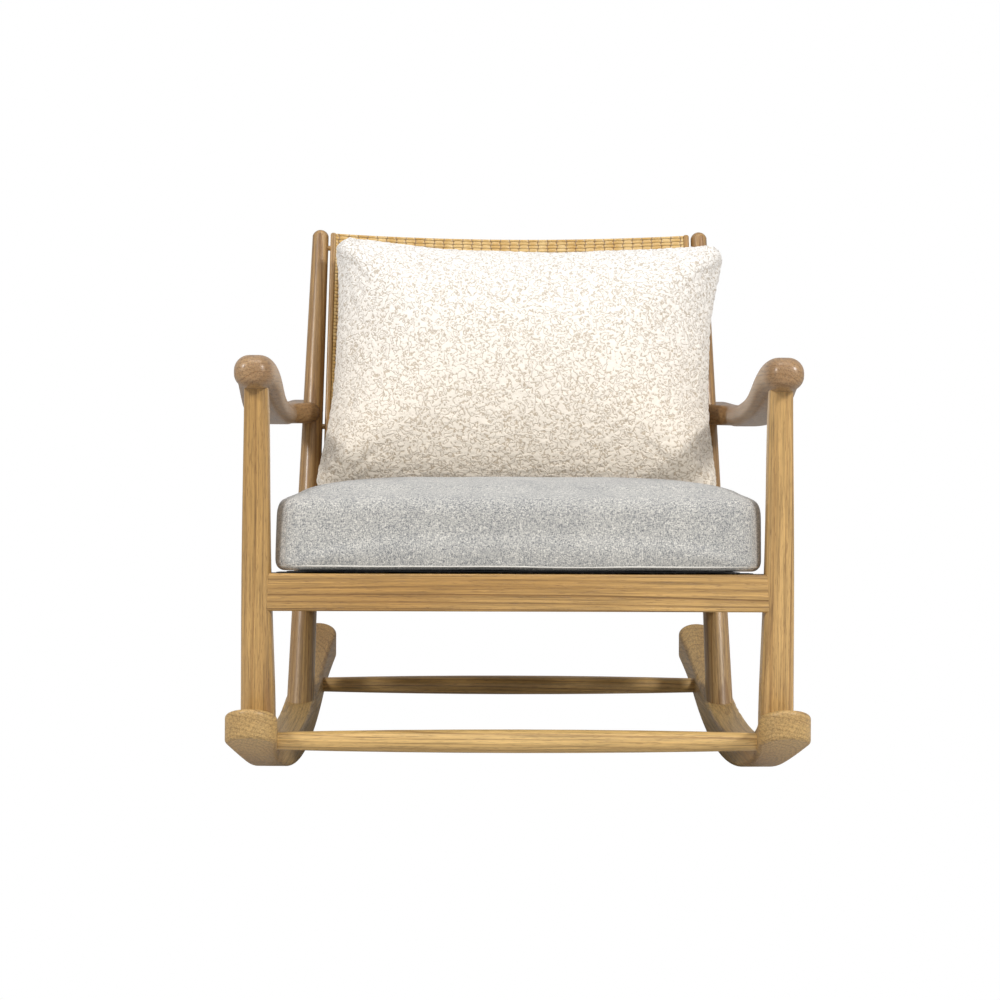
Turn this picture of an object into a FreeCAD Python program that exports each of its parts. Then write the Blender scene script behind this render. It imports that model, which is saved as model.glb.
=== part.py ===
"""Low lounge rocking chair in oiled ash with a woven cane back and two loose cushions.

Millimetres, +Z up, the chair faces -Y. Every piece is drawn with the front posts on Y = 0 and the floor
on Z = 0, and at the end the whole chair is moved along Y so that its origin is under its middle.
Pieces that come in pairs are drawn for the right side (+X) and mirrored.
"""
import FreeCAD, Part
import math
import os

Vector = FreeCAD.Vector
Rotation = FreeCAD.Rotation
Placement = FreeCAD.Placement

# Rockers
rocker_radius = 1000.0          # the underside that rolls on the floor
rocker_contact_y = 345.0        # where the rocker touches the floor, behind the front posts
rocker_sweep = 26.2             # degrees from the contact to each tip
rocker_thickness = 39.0
rocker_toe_thickness = 32.0
rocker_heel_thickness = 37.0
rocker_width = 46.0
rocker_tip_width = 62.0
rocker_flare_radius = 900.0     # plan curve that widens the rocker towards its tips
rocker_spread = 317.5           # centre line from the chair's middle, at the front posts
rocker_toe_in = 0.018           # how much the rockers close in per millimetre towards the rear
rocker_edge_round = 5.0

# Front posts
post_foot_width = 41.0
post_low_width = 38.0
post_rail_width = 35.0
post_seat_width = 32.0
post_top_width = 28.5
post_outer_x = 336.0            # the outer face stands upright, the inner face flares
post_outer_seat_x = 335.0
post_outer_top_x = 334.0
post_low_height = 198.0
post_seat_height = 398.0
post_top_height = 511.5
post_corner_round = 0.30        # share of the post's width
tenon_diameter = 18.0
tenon_length = 16.0
tenon_bury = 1.0                # round tenons start this far inside their posts

# Rear posts
rear_foot_y = 500.0
rear_top_y = 730.0
rear_top_height = 760.0
rear_top_spread = 300.0
rear_foot_diameter = 39.6
rear_top_diameter = 25.4
dome_flatness = 1.03            # radius of the domed top over the post's radius there
rear_post_rim = 12.0            # the post's rim may reach this far below its foot's middle

# Stretchers between the rockers
stretcher_diameter = 28.4
stretcher_end_diameter = 21.5
stretcher_tenon = 9.0
front_stretcher_height = 78.0
rear_stretcher_y = 615.0
rear_stretcher_height = 56.5

# Seat frame, laid out on a plane through the tops of the rails
seat_height = 282.0             # top of the front rail
seat_slope = 4.5                # degrees, down towards the rear
rail_height = 45.5
rail_thickness = 26.0
side_rail_thickness = 24.0
rail_edge_round = 3.0
rail_tenon_thickness = 9.0
rail_tenon_margin = 7.0         # the tenon is this much lower than the rail, top and bottom
rail_tenon_length = 14.0
rail_tenon_root = 12.0          # the tenon starts this far inside its rail
rear_tenon_share = 0.58         # of the rear post's radius where a tenon enters it
block_leg = 46.0
block_height = 26.0
block_drop = 6.0
block_overrun = 1.5             # drawn into the rails this far, then cut back to them
screw_diameter = 4.0
screw_head_diameter = 8.0
screw_head_height = 3.0
screw_sink = 1.0                # the head sits this much below the wood
screw_length = 44.0
screw_access = 2.0              # the countersink is cut from this far outside the wood

# Webbing and platform cloth
strap_width = 50.0
strap_thickness = 2.0
strap_gap = 0.2
lengthwise_straps = 5
lengthwise_pitch = 96.0
crosswise_straps = 4
crosswise_pitch = 108.0
crosswise_first = 95.0
platform_width = 534.0
platform_thickness = 1.2
platform_inset = 1.0            # its front edge lies this far behind the front rail's face

# Armrests, front to rear: Y, inner edge X, outer edge X, top Z, thickness
arm_stations = (
    (-47.0, 313.0, 328.0, 530.5, 12.0),
    (-43.0, 304.0, 337.0, 539.5, 27.0),
    (-31.0, 298.0, 343.0, 545.5, 38.0),
    (-8.0, 295.0, 345.0, 546.5, 41.0),
    (40.0, 294.0, 347.0, 536.5, 39.0),
    (100.0, 296.0, 351.0, 520.0, 35.5),
    (180.0, 300.0, 357.0, 504.0, 31.5),
    (280.0, 304.0, 362.0, 493.5, 30.0),
    (400.0, 310.0, 363.0, 487.5, 30.0),
    (500.0, 316.0, 361.0, 486.0, 30.0),
    (570.0, 315.0, 359.0, 486.5, 30.5),
    (606.0, 296.0, 358.0, 487.0, 31.0),
    (648.0, 293.0, 356.0, 488.5, 31.0),
    (696.0, 300.0, 352.0, 491.0, 30.0),
    (722.0, 308.0, 344.0, 490.0, 24.0),
    (730.0, 317.0, 335.0, 485.5, 12.0),
)
arm_edge_round = 0.46           # share of the arm's thickness
arm_screw_height = 472.0

# Back frame, hung between the rear posts
back_gap = 3.6                  # between a rear post and the back frame
back_low = 224.0                # along the rear posts, from their feet
back_high = 737.5
stile_width = 9.0
stile_edge_round = 0.38         # share of its width
stile_depth = 22.0
back_rail_height = 18.0
back_rail_depth = 16.0
back_bow = 22.0
cane_thickness = 2.6
cane_inset = 2.0                # the woven sleeve ends this far inside the stiles' ends
back_dowel_diameter = 8.0
back_dowel_depth = 7.0
back_dowel_places = (0.06, 0.38, 0.955)

# Seat cushion
seat_cushion_front = -15.0
seat_cushion_depth = 550.0
seat_cushion_front_width = 599.0
seat_cushion_rear_width = 566.0
seat_cushion_shift = 1.0        # the cushion lies a little to the right
seat_cushion_side = 78.0        # height where the boxed side turns into the crowned top
seat_cushion_lean = 1.0         # the side leans in this much
seat_cushion_thickness = 117.0
seat_cushion_foot_round = 6.0
seat_cushion_crown_reach = 241.0    # the crown rises over this distance from the edge
seat_cushion_corner = 34.0
seat_cushion_waist = 5.0        # how far each side draws in between its corners
cover_thickness = 3.0
cushion_clearance = 0.3

# Back cushion
back_cushion_width = 600.0
back_cushion_height = 410.0
back_cushion_thickness = 150.0
back_cushion_corner = 22.0
back_cushion_waist = 17.0
back_cushion_foot = 288.0       # lower edge along the rear posts, from their feet
back_cushion_forward = 70.2     # middle of the cushion ahead of the posts' plane
back_cushion_shift = 18.0       # the cushion lies a little to the right
back_cushion_roll = 1.0         # degrees
back_cushion_slump = 1.85       # degrees that its sides lean to the right on its lower edge
back_cushion_fullness = 188.0   # the swell reaches this far in from the edge
cushion_steps = 7
corner_shrink = 0.25            # a corner's radius falls by this share of the inset
corner_least = 0.4              # and to no less than this share of itself

zip_width = 9.0
zip_thickness = 1.6
seat_zip_length = 420.0
back_zip_length = 380.0


def mirrored(shape):
    return shape.mirror(Vector(0, 0, 0), Vector(1, 0, 0))


def turned(shape, axis, degrees, centre=Vector(0, 0, 0)):
    copy = shape.copy()
    copy.rotate(centre, axis, degrees)
    return copy


def moved(shape, x=0.0, y=0.0, z=0.0):
    copy = shape.copy()
    copy.translate(Vector(x, y, z))
    return copy


def box(low, high):
    size = high - low
    return Part.makeBox(size.x, size.y, size.z, low)


def rod(diameter, start, end):
    way = end - start
    return Part.makeCylinder(diameter / 2, way.Length, start, way)


def rounded_outline(width, height, radius):
    """Closed outline of lines and quarter arcs about the origin, in the XY plane."""
    half_w = width / 2
    half_h = height / 2
    slant = radius * (1 - math.sqrt(0.5))
    edges = []
    corners = ((1, 1), (-1, 1), (-1, -1), (1, -1))
    ends = []
    for sx, sy in corners:
        flat_x = Vector(sx * half_w, sy * (half_h - radius), 0)
        flat_y = Vector(sx * (half_w - radius), sy * half_h, 0)
        middle = Vector(sx * (half_w - slant), sy * (half_h - slant), 0)
        first, last = (flat_x, flat_y) if sx * sy > 0 else (flat_y, flat_x)
        ends.append((first, middle, last))
    for i, (first, middle, last) in enumerate(ends):
        edges.append(Part.Arc(first, middle, last).toShape())
        edges.append(Part.LineSegment(last, ends[(i + 1) % 4][0]).toShape())
    return Part.Wire(edges)


def placed(wire, origin, rotation):
    copy = wire.copy()
    copy.Placement = Placement(origin, rotation)
    return copy


# Rockers

def rocker_tip(inset, side):
    """Corner of a rocker's end in the side view, an inset above the rolling surface."""
    sweep = math.radians(rocker_sweep)
    reach = rocker_radius - inset
    return Vector(0, rocker_contact_y + side * reach * math.sin(sweep), rocker_radius - reach * math.cos(sweep))


def rocker_top_arc():
    """The top arc in the side view, through the middle and both tips."""
    middle = Vector(0, rocker_contact_y, rocker_thickness)
    return Part.Arc(rocker_tip(rocker_heel_thickness, 1), middle, rocker_tip(rocker_toe_thickness, -1))


def rocker_top_height(y):
    circle = rocker_top_arc().toShape().Curve
    return circle.Center.z - math.sqrt(circle.Radius ** 2 - (y - circle.Center.y) ** 2)


def rocker_centre_x(y):
    return rocker_spread - rocker_toe_in * y


def rocker_side_face():
    """Side view of a rocker in the YZ plane: one long arc that thins towards both tips."""
    toe_low, toe_high = rocker_tip(0, -1), rocker_tip(rocker_toe_thickness, -1)
    heel_low, heel_high = rocker_tip(0, 1), rocker_tip(rocker_heel_thickness, 1)
    bottom = Vector(0, rocker_contact_y, 0)
    edges = [
        Part.Arc(toe_low, bottom, heel_low),
        Part.LineSegment(heel_low, heel_high),
        rocker_top_arc(),
        Part.LineSegment(toe_high, toe_low),
    ]
    ends = (toe_high.y, heel_high.y)
    return Part.Face(Part.Wire([edge.toShape() for edge in edges])), ends


def rocker_plan_face(front_y, rear_y):
    """Plan of a rocker about its own centre line: waisted, with round tips."""
    waist = rocker_width / 2
    tip = rocker_tip_width / 2
    flare = rocker_flare_radius
    run = math.sqrt((tip - waist) * (2 * flare + tip + waist))
    lean = math.atan2(run, flare + waist)
    edges = []

    def side_edges(side, nose_y, way):
        centre_y = nose_y - way * tip
        start = Vector(side * waist, centre_y - way * run, 0)
        flare_centre = Vector(side * (waist + flare), start.y, 0)

        def on_flare(angle):
            return flare_centre + Vector(-side * flare * math.cos(angle), way * flare * math.sin(angle), 0)

        touch = on_flare(lean)
        return start, on_flare(lean / 2), touch

    for way, nose_y in ((-1, front_y), (1, rear_y)):
        right = side_edges(1, nose_y, way)
        left = side_edges(-1, nose_y, way)
        edges.append(Part.Arc(*right))
        edges.append(Part.Arc(*left))
        nose = Vector(0, nose_y, 0)
        edges.append(Part.Arc(right[2], nose, left[2]))
    for side in (-1, 1):
        front = side_edges(side, front_y, -1)[0]
        rear = side_edges(side, rear_y, 1)[0]
        edges.append(Part.LineSegment(front, rear))
    ordered = Part.__sortEdges__([edge.toShape() for edge in edges])
    return Part.Face(Part.Wire(ordered))


def rocker_blank():
    side_face, (front_y, rear_y) = rocker_side_face()
    side_slab = moved(side_face, x=-rocker_tip_width).extrude(Vector(2 * rocker_tip_width, 0, 0))
    plan = rocker_plan_face(front_y, rear_y).extrude(Vector(0, 0, rear_top_height / 2))
    rocker = side_slab.common(moved(plan, z=-rocker_thickness))
    rocker = rocker.makeFillet(rocker_edge_round, rocker.Edges)
    rocker = turned(rocker, Vector(0, 0, 1), math.degrees(math.atan(rocker_toe_in)))
    return moved(rocker, x=rocker_spread)


def stretcher(y, height):
    """Cigar-shaped rail between the rockers, with a round tenon at each end."""
    shoulder = rocker_centre_x(y) - rocker_width / 2
    end_r = stretcher_end_diameter / 2
    mid_r = stretcher_diameter / 2
    tenon_end = shoulder + stretcher_tenon
    points = [Vector(-tenon_end, 0, 0), Vector(-tenon_end, 0, end_r), Vector(-shoulder, 0, end_r)]
    swell = Part.Arc(points[2], Vector(0, 0, mid_r), Vector(shoulder, 0, end_r)).toShape()
    tail = [Vector(shoulder, 0, end_r), Vector(tenon_end, 0, end_r), Vector(tenon_end, 0, 0)]
    edges = Part.makePolygon(points).Edges + [swell] + Part.makePolygon(tail + [points[0]]).Edges
    profile = Part.Face(Part.Wire(edges))
    solid = profile.revolve(Vector(0, 0, 0), Vector(1, 0, 0), 360)
    return moved(solid, y=y, z=height)


# Posts

def front_post():
    foot = rocker_top_height(0) - rocker_edge_round / 2
    levels = (
        (foot, post_foot_width, post_outer_x),
        (post_low_height, post_low_width, post_outer_x),
        (seat_height, post_rail_width, post_outer_x),
        (post_seat_height, post_seat_width, post_outer_seat_x),
        (post_top_height, post_top_width, post_outer_top_x),
    )
    wires = []
    for height, width, outer in levels:
        outline = rounded_outline(width, width, post_corner_round * width)
        wires.append(placed(outline, Vector(outer - width / 2, 0, height), Rotation()))
    post = Part.makeLoft(wires, True, False)
    top_x = post_outer_top_x - post_top_width / 2
    foot_x = post_outer_x - post_foot_width / 2
    top_tenon = rod(tenon_diameter, Vector(top_x, 0, post_top_height - tenon_bury),
                    Vector(top_x, 0, post_top_height + tenon_length))
    foot_tenon = rod(tenon_diameter, Vector(foot_x, 0, foot - tenon_length), Vector(foot_x, 0, foot + tenon_bury))
    return post, top_tenon, foot_tenon


rear_foot = Vector(rocker_centre_x(rear_foot_y), rear_foot_y, rocker_top_height(rear_foot_y))
rear_top = Vector(rear_top_spread, rear_top_y, rear_top_height)


def rear_axis_at(share):
    return rear_foot + (rear_top - rear_foot) * share


def rear_radius_at(share):
    return (rear_foot_diameter + (rear_top_diameter - rear_foot_diameter) * share) / 2


def along_axis(solid):
    """Turn a solid drawn up the Z axis so that it runs up the right rear post's axis."""
    turn = Rotation(Vector(0, 0, 1), rear_top - rear_foot)
    copy = solid.copy()
    copy.Placement = Placement(rear_foot, turn)
    return copy


def rear_post():
    """Tapered round post with a domed top, long enough at the foot to be cut to the rocker."""
    length = (rear_top - rear_foot).Length
    top_r = rear_top_diameter / 2
    foot_r = rear_foot_diameter / 2
    below = rear_foot_diameter
    foot_r_below = foot_r + (foot_r - top_r) / length * below
    dome_r = top_r * dome_flatness
    dome_centre = Vector(0, 0, length - dome_r)
    dome_angle = math.asin(top_r / dome_r)
    shoulder = dome_centre + Vector(top_r, 0, dome_r * math.cos(dome_angle))
    dome_mid = dome_centre + Vector(math.sin(dome_angle / 2), 0, math.cos(dome_angle / 2)) * dome_r
    tip = Vector(0, 0, length)
    lines = Part.makePolygon([tip, Vector(0, 0, -below), Vector(foot_r_below, 0, -below), shoulder]).Edges
    dome = Part.Arc(shoulder, dome_mid, tip).toShape()
    profile = Part.Face(Part.Wire(lines + [dome]))
    post = along_axis(profile.revolve(Vector(0, 0, 0), Vector(0, 0, 1), 360))
    tenon = along_axis(Part.makeCylinder(tenon_diameter / 2, 2 * tenon_length, Vector(0, 0, -tenon_length)))
    return post, tenon


# Armrests

def armrest():
    wires = []
    for y, inner, outer, top, thickness in arm_stations:
        outline = rounded_outline(outer - inner, thickness, arm_edge_round * thickness)
        middle = Vector((inner + outer) / 2, y, top - thickness / 2)
        wires.append(placed(outline, middle, Rotation(Vector(1, 0, 0), 90)))
    return Part.makeLoft(wires, True, False)


def arm_screw():
    """Countersunk screw from the inner side of the rear post into the arm."""
    share = (arm_screw_height - rear_foot.z) / (rear_top.z - rear_foot.z)
    axis = rear_axis_at(share)
    start = axis.x - rear_radius_at(share)
    return screw(Vector(start, axis.y, arm_screw_height), Vector(1, 0, 0))


def screw(head, way, length=screw_length):
    """Screw whose countersunk head lies just under the point given, pointing the way given."""
    start = head + way * screw_sink
    cone = Part.makeCone(screw_head_diameter / 2, screw_diameter / 2, screw_head_height, start, way)
    shank = Part.makeCylinder(screw_diameter / 2, length - screw_head_height, start + way * screw_head_height, way)
    hole = Part.makeCylinder(screw_head_diameter / 2, screw_sink + screw_access, head - way * screw_access, way)
    return cone.fuse(shank), hole


# Seat frame, drawn level on its own plane and then tilted

def tilted(shape):
    return moved(turned(shape, Vector(1, 0, 0), -seat_slope), z=seat_height)


def seat_point(world):
    """A point given in the chair's frame, in the seat's own level frame."""
    point = world - Vector(0, 0, seat_height)
    return Rotation(Vector(1, 0, 0), seat_slope).multVec(point)


def rear_post_on_seat(level):
    """Where the right rear post's axis passes a level of the seat frame, and the post's radius there."""
    low = seat_point(rear_foot)
    high = seat_point(rear_top)
    share = (level - low.z) / (high.z - low.z)
    return low + (high - low) * share, rear_radius_at(share)


def softened(bar, radius=rail_edge_round):
    return bar.makeFillet(radius, bar.Edges)


def front_rail_blank():
    reach = post_outer_x - post_rail_width / 2
    half = rail_thickness / 2
    bar = softened(box(Vector(-reach, -half, -rail_height), Vector(reach, half, 0)))
    return tilted(bar)


def rear_rail_blank():
    axis = rear_post_on_seat(-rail_height / 2)[0]
    half = rail_thickness / 2
    bar = softened(box(Vector(-axis.x, axis.y - half, -rail_height), Vector(axis.x, axis.y + half, 0)))
    return tilted(bar)


def side_rail_line():
    """Front and rear ends of the right side rail's centre line, in the seat's level frame."""
    drop = strap_thickness + strap_gap
    axis = rear_post_on_seat(-rail_height / 2)[0]
    front = Vector(post_outer_x - post_rail_width / 2, 0, -drop)
    rear = Vector(axis.x, axis.y, -drop)
    return front, rear


def along_side_rail(shape, front, rear):
    yaw = math.degrees(math.atan2(front.x - rear.x, rear.y - front.y))
    return tilted(moved(turned(shape, Vector(0, 0, 1), yaw), front.x, front.y, front.z))


def side_rail_blank():
    front, rear = side_rail_line()
    length = (rear - front).Length
    half = side_rail_thickness / 2
    bar = softened(box(Vector(-half, 0, -rail_height), Vector(half, length, 0)))
    return along_side_rail(bar, front, rear)


def tenon_block(low_x, high_x, low_y, high_y):
    """Flat tenon, its long side upright, in the seat's level frame."""
    return tilted(box(Vector(low_x, low_y, -rail_height + rail_tenon_margin), Vector(high_x, high_y, -rail_tenon_margin)))


def rail_tenons():
    """Tenons of the right side: front rail, rear rail, side rail front and side rail rear."""
    half = rail_tenon_thickness / 2
    root = rail_tenon_root
    face_x = post_outer_x - post_rail_width
    front_y = -rail_thickness / 2 + rail_tenon_margin
    front = tenon_block(face_x - root, face_x + rail_tenon_length, front_y - half, front_y + half)
    post_x = post_outer_x - post_rail_width / 2
    face_y = post_rail_width / 2
    side_front = tenon_block(post_x - half, post_x + half, face_y - rail_tenon_length, face_y + root)
    axis, radius = rear_post_on_seat(-rail_height / 2)
    depth = radius * rear_tenon_share
    face_x = axis.x - radius
    rear = tenon_block(face_x - root, face_x + depth, axis.y - half, axis.y + half)
    face_y = axis.y - radius / math.cos(math.atan2(rear_top.y - rear_foot.y, rear_top.z - rear_foot.z))
    side_rear = tenon_block(axis.x - half, axis.x + half, face_y - root, face_y + depth)
    return front, rear, side_front, side_rear


def corner_block(corner, way_x, way_y):
    """Three-cornered block with its square corner at a corner of the seat frame."""
    top = -block_drop
    low = corner + Vector(0, 0, top - block_height)
    points = [low, low + Vector(way_x * block_leg, 0, 0), low + Vector(0, way_y * block_leg, 0), low]
    return Part.Face(Part.makePolygon(points)).extrude(Vector(0, 0, block_height))


def block_places():
    """Square corners of the front and rear block of the right side, in the seat's level frame."""
    front, rear = side_rail_line()
    slope = (rear.x - front.x) / (rear.y - front.y)
    inner_x = front.x - side_rail_thickness / 2 + block_overrun
    front_y = rail_thickness / 2
    rear_y = rear.y - rail_thickness / 2
    return (
        (Vector(inner_x + slope * front_y, front_y - block_overrun, 0), -1, 1),
        (Vector(inner_x + slope * rear_y, rear_y + block_overrun, 0), -1, -1),
    )


def block_screw(corner, way_x, way_y):
    """Screw through the long face of a corner block, towards the post."""
    middle = corner + Vector(way_x * block_leg / 2, way_y * block_leg / 2, -block_drop - block_height / 2)
    way = Vector(-way_x, -way_y, 0)
    way.normalize()
    return screw(middle, way)


# Webbing and platform cloth

def straps_lengthwise():
    axis = rear_post_on_seat(0)[0]
    first = -(lengthwise_straps - 1) / 2 * lengthwise_pitch
    end_y = axis.y + rail_thickness / 4
    straps = []
    for i in range(lengthwise_straps):
        x = first + i * lengthwise_pitch
        low = Vector(x - strap_width / 2, -rail_thickness / 4, 0)
        high = Vector(x + strap_width / 2, end_y, strap_thickness)
        straps.append(tilted(box(low, high)))
    return Part.makeCompound(straps)


def straps_crosswise():
    front, rear = side_rail_line()
    slope = (rear.x - front.x) / (rear.y - front.y)
    straps = []
    for i in range(crosswise_straps):
        y = crosswise_first + i * crosswise_pitch
        reach = front.x + slope * y
        low = Vector(-reach, y - strap_width / 2, -strap_thickness - strap_gap)
        high = Vector(reach, y + strap_width / 2, -strap_gap)
        straps.append(tilted(box(low, high)))
    return Part.makeCompound(straps)


def platform_cloth():
    axis = rear_post_on_seat(0)[0]
    half = platform_width / 2
    low = Vector(-half, -rail_thickness / 2 + platform_inset, strap_thickness)
    high = Vector(half, axis.y, strap_thickness + platform_thickness)
    return tilted(box(low, high))


# Back frame, drawn in the plane of the rear posts: X across, Y forward, Z up the posts

back_lean = math.atan2(rear_top.y - rear_foot.y, rear_top.z - rear_foot.z)
back_length = math.hypot(rear_top.y - rear_foot.y, rear_top.z - rear_foot.z)


def on_back(shape):
    """Move a shape from the back's own frame, whose Y points forward, to its place on the chair."""
    facing = turned(shape, Vector(0, 0, 1), 180)
    leaning = turned(facing, Vector(1, 0, 0), -math.degrees(back_lean))
    return moved(leaning, y=rear_foot.y, z=rear_foot.z)


def stile_outer_x(height):
    """Outer face of a stile, a steady gap inside the tapering rear post."""
    share = height / back_length
    return rear_axis_at(share).x - rear_radius_at(share) - back_gap


def stile_blank(side):
    low = stile_outer_x(back_low)
    high = stile_outer_x(back_high)
    half = stile_depth / 2
    points = [
        Vector(low, -half, back_low), Vector(high, -half, back_high),
        Vector(high - stile_width, -half, back_high), Vector(low - stile_width, -half, back_low),
        Vector(low, -half, back_low),
    ]
    bar = Part.Face(Part.makePolygon(points)).extrude(Vector(0, stile_depth, 0))
    bar = bar.makeFillet(stile_width * stile_edge_round, bar.Edges)
    return bar if side > 0 else mirrored(bar)


def bowed_slab(front, rear, low, high):
    """Slab that follows the bow of the back, between two depths and two heights, cut to the stiles."""
    reach = stile_outer_x(back_high)

    def arc(depth):
        return Part.Arc(Vector(-reach, depth, low), Vector(0, depth - back_bow, low), Vector(reach, depth, low))

    def end(side):
        return Part.LineSegment(Vector(side * reach, front, low), Vector(side * reach, rear, low))

    edges = [edge.toShape() for edge in (arc(front), end(1), arc(rear), end(-1))]
    slab = Part.Face(Part.Wire(Part.__sortEdges__(edges))).extrude(Vector(0, 0, high - low))
    inner_low = stile_outer_x(back_low) - stile_width
    inner_high = stile_outer_x(back_high) - stile_width
    deep = back_bow + stile_depth * 2
    points = [
        Vector(-inner_low, -deep, back_low), Vector(inner_low, -deep, back_low),
        Vector(inner_high, -deep, back_high), Vector(-inner_high, -deep, back_high),
        Vector(-inner_low, -deep, back_low),
    ]
    window = Part.Face(Part.makePolygon(points)).extrude(Vector(0, 2 * deep, 0))
    return slab.common(window)


def back_rails():
    half = back_rail_depth / 2
    low = back_low + cane_inset + cane_thickness
    high = back_high - cane_inset - cane_thickness
    bottom = bowed_slab(half, -half, low, low + back_rail_height)
    top = bowed_slab(half, -half, high - back_rail_height, high)
    return bottom, top


def cane_panel():
    """Cane woven round both rails: a flat sleeve, open at the stiles."""
    half = back_rail_depth / 2
    low = back_low + cane_inset
    high = back_high - cane_inset
    outer = bowed_slab(half + cane_thickness, -half - cane_thickness, low, high)
    inner = bowed_slab(half, -half, low + cane_thickness, high - cane_thickness)
    return outer.cut(inner)


def back_dowels(side):
    """Dowels that hold one stile off its rear post."""
    pins = []
    for share in back_dowel_places:
        height = back_low + (back_high - back_low) * share
        outer = stile_outer_x(height)
        start = Vector(side * (outer - back_dowel_depth), 0, height)
        end = Vector(side * (outer + back_gap + back_dowel_depth), 0, height)
        pins.append(on_back(rod(back_dowel_diameter, start, end)))
    return pins


# Cushions

def drawn_in_outline(front_width, rear_width, depth, corner, waist, slump, inset, level):
    """Four-sided outline with round corners whose sides curve in, shrunk by an inset, in the XY plane."""
    half_front = front_width / 2 - inset
    half_rear = rear_width / 2 - inset
    half_depth = depth / 2 - inset
    r = max(corner - inset * corner_shrink, corner * corner_least)
    dip = waist * max(0.0, 1 - inset / (half_depth + inset))
    slant = r * (1 - math.sqrt(0.5))
    corners = (
        (half_rear, half_depth, 1, 1), (-half_rear, half_depth, -1, 1),
        (-half_front, -half_depth, -1, -1), (half_front, -half_depth, 1, -1),
    )
    ends = []
    for x, y, sx, sy in corners:
        on_side = Vector(x, y - sy * r, level)
        on_end = Vector(x - sx * r, y, level)
        middle = Vector(x - sx * slant, y - sy * slant, level)
        ends.append((on_side, middle, on_end) if sx * sy > 0 else (on_end, middle, on_side))
    ends = [[point - Vector(slump * point.y, 0, 0) for point in trio] for trio in ends]
    edges = []
    for i, (first, middle, last) in enumerate(ends):
        following = ends[(i + 1) % 4][0]
        halfway = (last + following) / 2
        pull = Vector(-halfway.x, -halfway.y, 0)
        pull.normalize()
        edges.append(Part.Arc(first, middle, last).toShape())
        edges.append(Part.Arc(last, halfway + pull * dip, following).toShape())
    return Part.Wire(edges)


def stacked(levels, front_width, rear_width, depth, corner, waist, slump, skin, squeeze):
    """Solid through outlines one above the other; squeeze turns a level into a height inside the skin."""
    wires = []
    for level, inset in levels:
        wires.append(drawn_in_outline(front_width, rear_width, depth, corner, waist, slump,
                                      inset + skin, squeeze(level)))
    return Part.makeLoft(wires, True, True)


def swell(start_level, end_level, start_inset, end_inset):
    """Quarter of an ellipse, steep at its start and level at its end."""
    levels = []
    for i in range(cushion_steps + 1):
        angle = math.pi / 2 * i / cushion_steps
        level = start_level + (end_level - start_level) * math.sin(angle)
        levels.append((level, start_inset + (end_inset - start_inset) * (1 - math.cos(angle))))
    return levels


def seat_cushion_solid(skin):
    """Boxed cushion with round edges and a crowned top, drawn a skin's thickness inside its cover."""
    depth = seat_cushion_depth
    low = swell(seat_cushion_foot_round, 0.0, 0.0, seat_cushion_foot_round)
    top = swell(seat_cushion_side, seat_cushion_thickness, seat_cushion_lean, seat_cushion_crown_reach)
    levels = low[::-1] + top

    def squeeze(level):
        return skin + level * (seat_cushion_thickness - 2 * skin) / seat_cushion_thickness

    solid = stacked(levels, seat_cushion_front_width, seat_cushion_rear_width, depth,
                    seat_cushion_corner, seat_cushion_waist, 0.0, skin, squeeze)
    rest = strap_thickness + platform_thickness + cushion_clearance
    return tilted(moved(solid, x=seat_cushion_shift, y=seat_cushion_front + depth / 2, z=rest))


def back_cushion_solid(skin):
    """Knife-edged cushion, full in the middle, drawn a skin's thickness inside its cover."""
    half = back_cushion_thickness / 2
    front = swell(0.0, 1.0, 0.0, back_cushion_fullness)
    rear = [(-level, inset) for level, inset in front[1:]]
    flat = stacked(rear[::-1] + front, back_cushion_width, back_cushion_width, back_cushion_height,
                   back_cushion_corner, back_cushion_waist, math.tan(math.radians(back_cushion_slump)), skin,
                   lambda level: level * (half - skin))
    upright = turned(flat, Vector(1, 0, 0), 90)
    rolled = turned(upright, Vector(0, 1, 0), -back_cushion_roll)
    middle = back_cushion_foot + back_cushion_height / 2
    return on_back(moved(rolled, x=-back_cushion_shift, y=back_cushion_forward, z=middle))


def seat_zip():
    """Zip along the rear side of the seat cushion."""
    rest = strap_thickness + platform_thickness + cushion_clearance
    y = seat_cushion_front + seat_cushion_depth - seat_cushion_waist
    middle = rest + seat_cushion_side / 2
    low = Vector(-seat_zip_length / 2, y - zip_thickness, middle - zip_width / 2)
    high = Vector(seat_zip_length / 2, y + zip_thickness, middle + zip_width / 2)
    return tilted(box(low, high))


def back_zip():
    """Zip along the lower seam of the back cushion."""
    half = back_zip_length / 2
    drop = -back_cushion_height / 2 + back_cushion_waist
    sideways = -drop * math.tan(math.radians(back_cushion_slump))
    strip = box(Vector(-half, -zip_width / 2, drop - zip_thickness), Vector(half, zip_width / 2, drop + zip_thickness))
    rolled = turned(moved(strip, x=sideways), Vector(0, 1, 0), -back_cushion_roll)
    middle = back_cushion_foot + back_cushion_height / 2
    return on_back(moved(rolled, x=-back_cushion_shift, y=back_cushion_forward, z=middle))


# Assembly

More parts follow.
